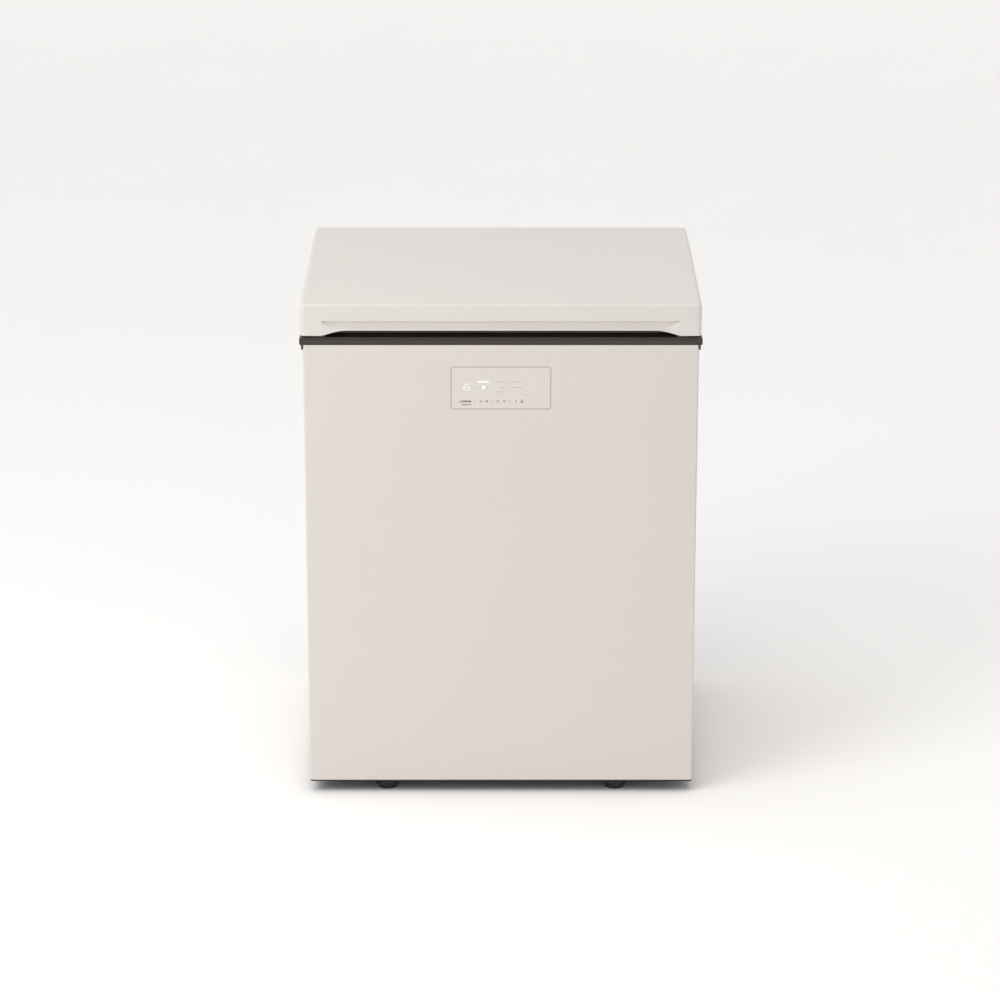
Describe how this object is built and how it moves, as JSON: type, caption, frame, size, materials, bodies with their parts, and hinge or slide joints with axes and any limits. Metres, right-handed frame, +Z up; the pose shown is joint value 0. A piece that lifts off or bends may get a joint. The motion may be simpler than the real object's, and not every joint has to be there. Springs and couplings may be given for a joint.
{
  "type": "chest-type kimchi refrigerator",
  "caption": "Chest refrigerator for kimchi with one top lid on sprung rear hinges, a flush touch window, a stepped cold tub, a rear machine compartment, screw feet in front and rollers behind.",
  "frame": {"origin": "on the floor, under the middle of the overall width and depth, with the lid closed", "axes": "+X to the right seen from the front, +Y to the back, +Z up; the front with the touch window faces -Y"},
  "size_m": [0.665, 0.575, 0.865],
  "materials": {
    "paint": "satin",
    "lid_plastic": "satin",
    "window": "satin",
    "trim_plastic": "satin",
    "dark_plastic": "matte",
    "black_paint": "satin",
    "galvanised": "satin",
    "spring_steel": "satin",
    "tub_aluminium": "satin",
    "copper": "satin",
    "white_plastic": "satin",
    "grey_rubber": "matte",
    "black_rubber": "matte",
    "foam": "matte",
    "circuit_board": "satin"
  },
  "bodies": {
    "root": {"cabinet_wrap": "paint", "back_panel": "galvanised", "base_pan": "black_paint", "compressor_base": "galvanised", "machine_bulkhead": "galvanised", "cabinet_foam": "foam", "tub": "tub_aluminium", "top_trim": "trim_plastic", "lid_bumpers": "grey_rubber", "evaporator_coil": "tub_aluminium", "display_window": "window", "display_housing": "white_plastic", "display_board": "circuit_board", "compressor_shell": "black_paint", "compressor_feet": "black_paint", "compressor_grommets": "grey_rubber", "compressor_bolts": "spring_steel", "terminal_cover": "dark_plastic", "discharge_pipe": "copper", "suction_pipe": "copper", "liquid_pipe": "copper", "filter_drier": "copper", "capillary_tube": "copper", "condenser_fins": "tub_aluminium", "condenser_tube": "copper", "fan_shroud": "dark_plastic", "fan_motor": "galvanised", "control_box": "white_plastic", "control_box_cover": "white_plastic", "control_board": "circuit_board", "machine_cover": "galvanised", "machine_cover_screws": "spring_steel", "cord_gland": "dark_plastic", "hinge_bracket_left": "galvanised", "hinge_bracket_right": "galvanised", "hinge_bracket_screws": "spring_steel", "hinge_anchor_plates": "spring_steel", "hinge_pins": "spring_steel", "hinge_spring_left": "spring_steel", "hinge_spring_right": "spring_steel", "foot_bushes": "galvanised", "roller_axles": "spring_steel"},
    "lid": {"lid_shell": "lid_plastic", "lid_liner": "white_plastic", "lid_foam": "foam", "lid_gasket": "grey_rubber", "grip_insert": "dark_plastic", "hinge_arm_left": "galvanised", "hinge_arm_right": "galvanised", "lid_screws": "spring_steel", "lid_anchor_plates": "spring_steel"},
    "plunger_left": {"hinge_plunger_left": "dark_plastic"},
    "plunger_right": {"hinge_plunger_right": "dark_plastic"},
    "foot_left": {"foot_sole_left": "black_rubber"},
    "foot_right": {"foot_sole_right": "black_rubber"},
    "foot_left_knob": {"foot_knob_left": "dark_plastic"},
    "foot_right_knob": {"foot_knob_right": "dark_plastic"},
    "wheel_left": {"roller_left": "dark_plastic"},
    "wheel_right": {"roller_right": "dark_plastic"},
    "fan": {"fan_wheel": "white_plastic"}
  },
  "joints": [
    {"name": "lid_hinge", "type": "hinge", "parent": "root", "child": "lid", "pos_m": [0, 0.278, 0.814], "axis": [-1, 0, 0], "range_deg": [0, 80]},
    {"name": "plunger_left_slide", "type": "slide", "parent": "root", "child": "plunger_left", "axis": [0, 0, 1], "range_m": [0, 0.00838], "deforming": ["hinge_spring_left"]},
    {"name": "foot_left_slide", "type": "slide", "parent": "root", "child": "foot_left", "axis": [0, 0, -1], "range_m": [0, 0.012]},
    {"name": "foot_left_turn", "type": "hinge", "parent": "foot_left", "child": "foot_left_knob", "pos_m": [-0.195, -0.2555, 0], "axis": [0, 0, -1], "range_deg": [0, 2880]},
    {"name": "wheel_left_spin", "type": "hinge", "parent": "root", "child": "wheel_left", "pos_m": [-0.285, 0.223, 0.015], "axis": [1, 0, 0], "continuous": true},
    {"name": "plunger_right_slide", "type": "slide", "parent": "root", "child": "plunger_right", "axis": [0, 0, 1], "range_m": [0, 0.00838], "deforming": ["hinge_spring_right"]},
    {"name": "foot_right_slide", "type": "slide", "parent": "root", "child": "foot_right", "axis": [0, 0, -1], "range_m": [0, 0.012]},
    {"name": "foot_right_turn", "type": "hinge", "parent": "foot_right", "child": "foot_right_knob", "pos_m": [0.195, -0.2555, 0], "axis": [0, 0, -1], "range_deg": [0, 2880]},
    {"name": "wheel_right_spin", "type": "hinge", "parent": "root", "child": "wheel_right", "pos_m": [0.285, 0.223, 0.015], "axis": [1, 0, 0], "continuous": true},
    {"name": "fan_spin", "type": "hinge", "parent": "root", "child": "fan", "pos_m": [0.03, 0.166, 0.1115], "axis": [1, 0, 0], "continuous": true}
  ],
  "couplings": [
    {"joint": "plunger_left_slide", "follows": "lid_hinge", "m_per_rad": 0.006},
    {"joint": "foot_left_turn", "follows": "foot_left_slide", "rad_per_m": 4188.8},
    {"joint": "plunger_right_slide", "follows": "lid_hinge", "m_per_rad": 0.006},
    {"joint": "foot_right_turn", "follows": "foot_right_slide", "rad_per_m": 4188.8}
  ]
}
